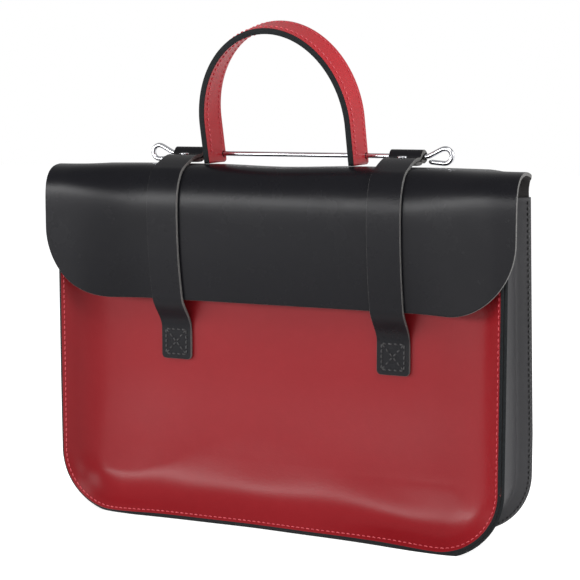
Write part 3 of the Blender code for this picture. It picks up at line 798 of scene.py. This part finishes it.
def make_strap(side, x_middle):
    line = strap_line()
    along = np.gradient(line, axis=0)
    along /= np.linalg.norm(along, axis=1, keepdims=True)
    face = line + 0.5 * STRAP_THICK * np.stack([-along[:, 1], along[:, 0]], -1)
    total = length_of(line)
    x = columns_of(0.5 * STRAP_WIDTH, 33)
    skip = rim_bottom(x, 0.5 * STRAP_WIDTH, TAB_CORNER, 0.0)
    at = skip + (total - 2.0 * skip) * np.linspace(0.0, 1.0, 420)[:, None]
    places = np.linspace(0.0, total, len(face))
    y, z = (np.interp(at, places, face[:, k]) for k in (0, 1))
    point = np.stack(np.broadcast_arrays(x + x_middle, y, z), -1)
    item = slab(f"strap_{side}_hide", point, STRAP_THICK, [STRAP_HIDE, GREY_EDGE, SUEDE])
    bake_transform(item)
    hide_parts(f"strap_{side}", f"strap_end_{side}")


def make_rivet(side, x):
    """A flattened cap and a washer, turned on one shank."""
    top = TOP_Z + LOOP_RISE + 0.5 * STRAP_THICK
    low = TOP_Z + LOOP_RISE - 1.5 * STRAP_THICK - WASHER_THICK
    profile = [(0.0, top + CAP_RISE), (0.55 * CAP_R, top + 0.97 * CAP_RISE)]
    profile += [(CAP_R * (0.62 + 0.38 * math.sin(a)), top + CAP_RISE * (0.30 + 0.62 * math.cos(a)))
                for a in np.radians(np.linspace(15.0, 110.0, 9))]
    profile += [(0.90 * CAP_R, top), (SHANK_R, top - 0.0001), (SHANK_R, low)]
    foot = low - WASHER_THICK
    profile += [(WASHER_R, low), (WASHER_R, low - 0.0004), (0.6 * WASHER_R, foot), (0.0, foot)]
    turn = np.linspace(0.0, 2.0 * np.pi, 49)[:-1]
    rings = [np.stack([x + r * np.cos(turn), RIVET_Y + r * np.sin(turn), z + 0.0 * turn], -1)
             for r, z in profile]
    points, faces = rings_mesh(rings[::-1])
    item = add_mesh(f"strap_rivet_{side}_cap", points, faces, [STEEL])
    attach(item, "straps")
    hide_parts(f"strap_rivet_{side}")


# ------------------------------------------------------------ bar
def make_carry_bar():
    """The rod, bent up and round into an open eye at each end."""
    eye = [(EYE_X + EYE_R * math.cos(a), EYE_RISE + EYE_R * math.sin(a))
           for a in np.radians(np.linspace(*EYE_TURN, 25))]
    half = [(0.0, 0.0), (0.5 * BAR_SHANK, 0.0), (BAR_SHANK, 0.0)] + eye + [EYE_TIP]
    half = smooth(resample(half, 260), 12)
    route = np.concatenate([half[:0:-1] * (-1.0, 1.0), half])
    along = np.gradient(route, axis=0)
    along /= np.linalg.norm(along, axis=1, keepdims=True)
    turn = np.linspace(0.0, 2.0 * np.pi, 25)[:-1]
    from_end = np.arange(len(route)) / 5.0
    radius = BAR_R * np.sqrt(np.clip(np.minimum(from_end, from_end[::-1]) + 0.35, 0.0, 1.0))
    rings = []
    for (x, z), (tx, tz), r in zip(route, along, radius):
        rings.append(np.stack([x - tz * r * np.cos(turn), BAR_Y + r * np.sin(turn),
                               BAR_Z + z + tx * r * np.cos(turn)], -1))
    points, faces = rings_mesh(rings)
    item = add_mesh("carry_bar_rod", points, faces, [STEEL])
    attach(item, "bar")
    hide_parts("carry_bar")


# ------------------------------------------------------------ handle
def foot_level(across):
    """Lower end of a leg: cut level towards the front, round behind the bar."""
    rear = np.sqrt(np.maximum(0.0, HANDLE_FOOT ** 2 - np.maximum(across, 0.0) ** 2))
    return np.where(across < 0.0, HANDLE_FOOT_RISE * across / HANDLE_FRONT - HANDLE_FOOT, -rear)


def arch(across, shift):
    """Points and normals along the handle's arch in the handle's own frame."""
    low = float(foot_level(np.array(across)))
    half, rise = HANDLE_HALF + shift, HANDLE_RISE + shift
    angle = np.linspace(math.pi, 0.0, CROWN_POINTS)
    z = np.linspace(low, HANDLE_LEG, LEG_POINTS, endpoint=False)
    x = np.concatenate([-half + 0.0 * z, half * np.cos(angle), half + 0.0 * z])
    nx = np.concatenate([-1.0 + 0.0 * z, rise * np.cos(angle), 1.0 + 0.0 * z])
    nz = np.concatenate([0.0 * z, half * np.sin(angle), 0.0 * z])
    z = np.concatenate([z, HANDLE_LEG + rise * np.sin(angle), z[::-1]])
    length = np.hypot(nx, nz)
    return np.stack([x, across + 0.0 * x, z], -1), np.stack([nx / length, 0.0 * x, nz / length], -1)


def from_handle(vectors, at_bar=True):
    """Turns points or directions of the handle's own frame into the bag's."""
    x, y, z = np.moveaxis(vectors, -1, 0)
    turned = np.stack([x, y * math.cos(LEAN) - z * math.sin(LEAN),
                       y * math.sin(LEAN) + z * math.cos(LEAN)], -1)
    return turned + (HANDLE_X, BAR_Y, BAR_Z) if at_bar else turned


def handle_section():
    """(across, shift, slot) round the three sewn plies: faces and grooved edges."""
    half = 0.5 * HANDLE_THICK
    face = np.linspace(HANDLE_FRONT + EDGE_ROUND, HANDLE_REAR - EDGE_ROUND, 22)
    edge = np.linspace(0.5 * math.pi, -0.5 * math.pi, 19)
    section = [(a, half, 0) for a in face]
    for side, base in ((1.0, HANDLE_REAR), (-1.0, HANDLE_FRONT)):
        for angle in edge[1:-1]:
            level = half * math.sin(angle)
            groove = PLY_GROOVE * math.exp(-((abs(level) - PLY_EDGE) / GROOVE_WIDTH) ** 2)
            crown = EDGE_ROUND * (math.cos(angle) ** 0.5 - 1.0) - groove
            section.append((base + side * crown, side * level, 1))
        if side > 0.0:
            section += [(a, -half, 0) for a in face[::-1]]
    return section


def make_handle():
    section = handle_section()
    columns = [arch(across, shift)[0] for across, shift, _ in section]
    rings = from_handle(np.stack(columns, 1))
    points, faces = rings_mesh(list(rings))
    count = len(section)
    kinds = [slot for _, _, slot in section]
    sides = [min(kinds[k], kinds[(k + 1) % count]) for k in range(count)]
    slots = sides * (len(rings) - 1) + [1, 1]
    item = add_mesh("handle_three_ply", points, faces, [HANDLE_HIDE, INKED_EDGE], slots)
    hole = add_rod("bar_hole", BAR_HOLE_R, HANDLE_X, 0.09, INKED_EDGE)
    cut = item.modifiers.new("bar_hole", "BOOLEAN")
    cut.object = hole
    cut.solver = "EXACT"
    apply_modifiers(item)
    bpy.data.objects.remove(hole, do_unlink=True)
    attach(item, "handle")
    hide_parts("handle_outer_ply", "handle_core", "handle_inner_ply")


# ------------------------------------------------------------ sewing
def sew(name, lines, materials, body, replaces, seed, size=THREAD_R):
    """Rows of single stitches, with a small near-black cone between them: painted shade standing
    for the awl hole.  A line is points and the surface normals at them."""
    rng = np.random.default_rng(seed)
    points, faces, slots = [], [], []

    def add(rings, kind):
        more, quads = rings_mesh(rings)
        start = len(points)
        points.extend(more.tolist())
        faces.extend([[start + k for k in quad] for quad in quads])
        slots.extend([kind] * len(quads))

    turn = np.linspace(0.0, 2.0 * np.pi, 9)[:-1, None]
    span = np.linspace(-1.0, 1.0, 7)
    for line, normal in lines:
        count = max(2, round(length_of(line) / STITCH_PITCH))
        both = resample(np.concatenate([line, normal * 1e-9], 1), count + 1)
        at, up = both[:, :3], both[:, 3:] / np.linalg.norm(both[:, 3:], axis=1, keepdims=True)
        for k in range(count):
            along = at[k + 1] - at[k]
            along /= np.linalg.norm(along)
            high = up[k] + up[k + 1]
            high -= along * high.dot(along)
            high /= np.linalg.norm(high)
            side = np.cross(along, high)
            slant, length = rng.uniform(0.03, 0.13), rng.uniform(0.36, 0.40) * STITCH_PITCH
            along = along + side * slant
            middle = 0.5 * (at[k] + at[k + 1])
            rings = []
            for t in span:
                radius = size * (1.0 - 0.72 * abs(t) ** 5)
                centre = middle + along * length * t
                centre = centre + high * size * (0.55 - 0.95 * t * t)
                rings.append(centre + radius * (np.cos(turn) * side + np.sin(turn) * high * 0.8))
            add(rings, 0)
            ahead = along / np.linalg.norm(along)
            # painted shade: a small near-black cone at the stitch hole, where the hole's shade
            # would fall
            hole_shade = [at[k] + high * 0.00006 + scale * (
                np.cos(turn) * ahead * AWL_LONG + np.sin(turn) * side * AWL_WIDE)
                for scale in (1.0, 0.02)]
            hole_shade[0] = hole_shade[0] - high * 0.0003
            add(hole_shade, 1)
    item = add_mesh(name, np.array(points), faces, materials, slots)
    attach(item, body)
    if replaces:
        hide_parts(*replaces)


def rim_line(dish, plane, direction, offset, top):
    """The seam round a rim, on the face this far behind the panel's own."""
    x, z, nx, nz = rim_route(top).T
    out, into, slope = under_rim(SEAM_INSET, dish, offset, x, z)
    facing_out = -1.0 if offset <= 0.0 else 1.0
    length = np.hypot(slope, 1.0)[:, None]
    y = plane(z) + direction * into + (sway(x, z) if direction > 0.0 else 0.0)
    up = lift(x, z) if direction > 0.0 else 0.0
    line = np.stack([x + out * nx, y, np.maximum(z + out * nz + up, BOLD_THREAD_R)], -1)
    normal = np.stack([slope * nx, direction + 0.0 * x, slope * nz], -1) * facing_out / length
    return line, normal


def tab_lines(x):
    """The box and the cross sewn through a strap's end."""
    half = 0.5 * STRAP_WIDTH - TAB_INSET
    low, top, y = TAB_LOW + TAB_INSET, TAB_TOP - TAB_SEAM_DROP, TAB_Y
    corner = [(x - half, y, low), (x + half, y, low), (x + half, y, top), (x - half, y, top)]
    runs = [(0, 1), (1, 2), (2, 3), (3, 0), (0, 2), (1, 3)]
    lines = []
    for a, b in runs:
        first, last = np.array(corner[a]), np.array(corner[b])
        line = first + (last - first) * np.linspace(0.0, 1.0, 9)[:, None]
        lines.append((line, np.tile((0.0, -1.0, 0.0), (9, 1))))
    return lines


def handle_line(across, shift):
    point, normal = arch(across, shift)
    keep = point[:, 2] > HANDLE_SEAM_LOW
    return (from_handle(point[keep]),
            from_handle(normal[keep], at_bar=False) * (1.0 if shift > 0.0 else -1.0))


def make_sewing():
    flange = 2.0 * LEATHER + GAP
    red, black = [RED_THREAD, AWL_HOLE_SHADE], [BLACK_THREAD, AWL_HOLE_SHADE]
    sew("front_seam_stitches", [rim_line(front_dish, front_rim, 1.0, 0.0, FRONT_TOP)],
        red, "bag", ["front_seam_thread"], 11)
    sew("front_flange_stitches", [rim_line(front_dish, front_rim, 1.0, flange, FRONT_TOP)],
        black, "bag", [], 12)
    sew("back_seam_stitches", [rim_line(rear_dish, rear_rim, -1.0, 0.0, REAR_SEAM_TOP)],
        black, "bag", ["back_seam_thread"], 13)
    rear_top = REAR_SEAM_TOP - 0.002
    sew("rear_flange_stitches", [rim_line(rear_dish, rear_rim, -1.0, flange, rear_top)],
        black, "bag", [], 14, BOLD_THREAD_R)
    for side, x in (("left", -STRAP_X), ("right", STRAP_X)):
        sew(f"strap_{side}_box_stitches", tab_lines(x), black, "bag",
            [f"strap_thread_{side}"], 15, TAB_THREAD_R)
    half = 0.5 * HANDLE_THICK
    for name, across, size in (("front", HANDLE_FRONT + HANDLE_SEAM_INSET, TAB_THREAD_R),
                               ("rear", HANDLE_REAR - REAR_SEAM_INSET, THREAD_R)):
        sew(f"handle_{name}_stitches", [handle_line(across, half), handle_line(across, -half)],
            red, "handle", [f"handle_{name}_thread"], 16, size)


# ------------------------------------------------------------ camera and light
def add_softbox(name, location, target, size, power):
    light = bpy.data.lights.new(name, "AREA")
    light.shape = "RECTANGLE"
    light.size, light.size_y = size
    light.energy = power
    item = bpy.data.objects.new(name, light)
    item.location = location
    direction = Vector(target) - Vector(location)
    item.rotation_euler = direction.to_track_quat("-Z", "Y").to_euler()
    bpy.context.scene.collection.objects.link(item)


def make_camera():
    data = bpy.data.cameras.new("camera")
    data.lens = CAMERA_LENS
    data.sensor_width = 36.0
    item = bpy.data.objects.new("camera", data)
    item.location = CAMERA_AT
    item.rotation_euler = (0.5 * math.pi - CAMERA_DOWN, 0.0, CAMERA_TURN)
    bpy.context.scene.collection.objects.link(item)
    bpy.context.scene.camera = item


def make_floor():
    bpy.ops.mesh.primitive_plane_add(size=12.0, location=(0.0, 0.0, -0.0002))
    floor = bpy.context.object
    floor.name = "floor"
    n = Nodes("pale_floor")
    tone = n.mix(n.noise(3.0), (0.90, 0.90, 0.90, 1.0), (0.93, 0.93, 0.93, 1.0))
    matt = n.ramp(n.noise(9.0), 0.3, 0.7, 0.6, 0.7)
    floor.data.materials.append(n.finish(tone, matt, None, Emission_Color=(1.0, 1.0, 1.0, 1.0)))
    seen = n.add("ShaderNodeLightPath").outputs["Is Camera Ray"]
    n.link(n.ramp(seen, 0.0, 1.0, FLOOR_HAZE, FLOOR_GLOW), n.shader.inputs["Emission Strength"])


def make_room():
    """Even white light all round, dimmer than the room that the camera sees."""
    world = bpy.data.worlds.new("studio")
    bpy.context.scene.world = world
    world.use_nodes = True
    tree = world.node_tree
    seen = tree.nodes.new("ShaderNodeLightPath").outputs["Is Camera Ray"]
    level = tree.nodes.new("ShaderNodeMapRange")
    level.inputs["To Min"].default_value = ROOM_LIGHT
    level.inputs["To Max"].default_value = ROOM_SEEN
    tree.links.new(seen, level.inputs["Value"])
    tree.links.new(level.outputs["Result"], tree.nodes["Background"].inputs["Strength"])
    tree.nodes["Background"].inputs["Color"].default_value = (1.0, 1.0, 1.0, 1.0)


make_front_panel()
make_gusset()
make_black_hide()
for strap_side, strap_x in (("left", -STRAP_X), ("right", STRAP_X)):
    make_strap(strap_side, strap_x)
    make_rivet(strap_side, strap_x)
make_carry_bar()
make_handle()
make_sewing()
make_camera()
make_floor()
make_room()
for softbox in SOFTBOXES:
    add_softbox(*softbox)

bpy.context.scene.view_settings.view_transform = "Standard"
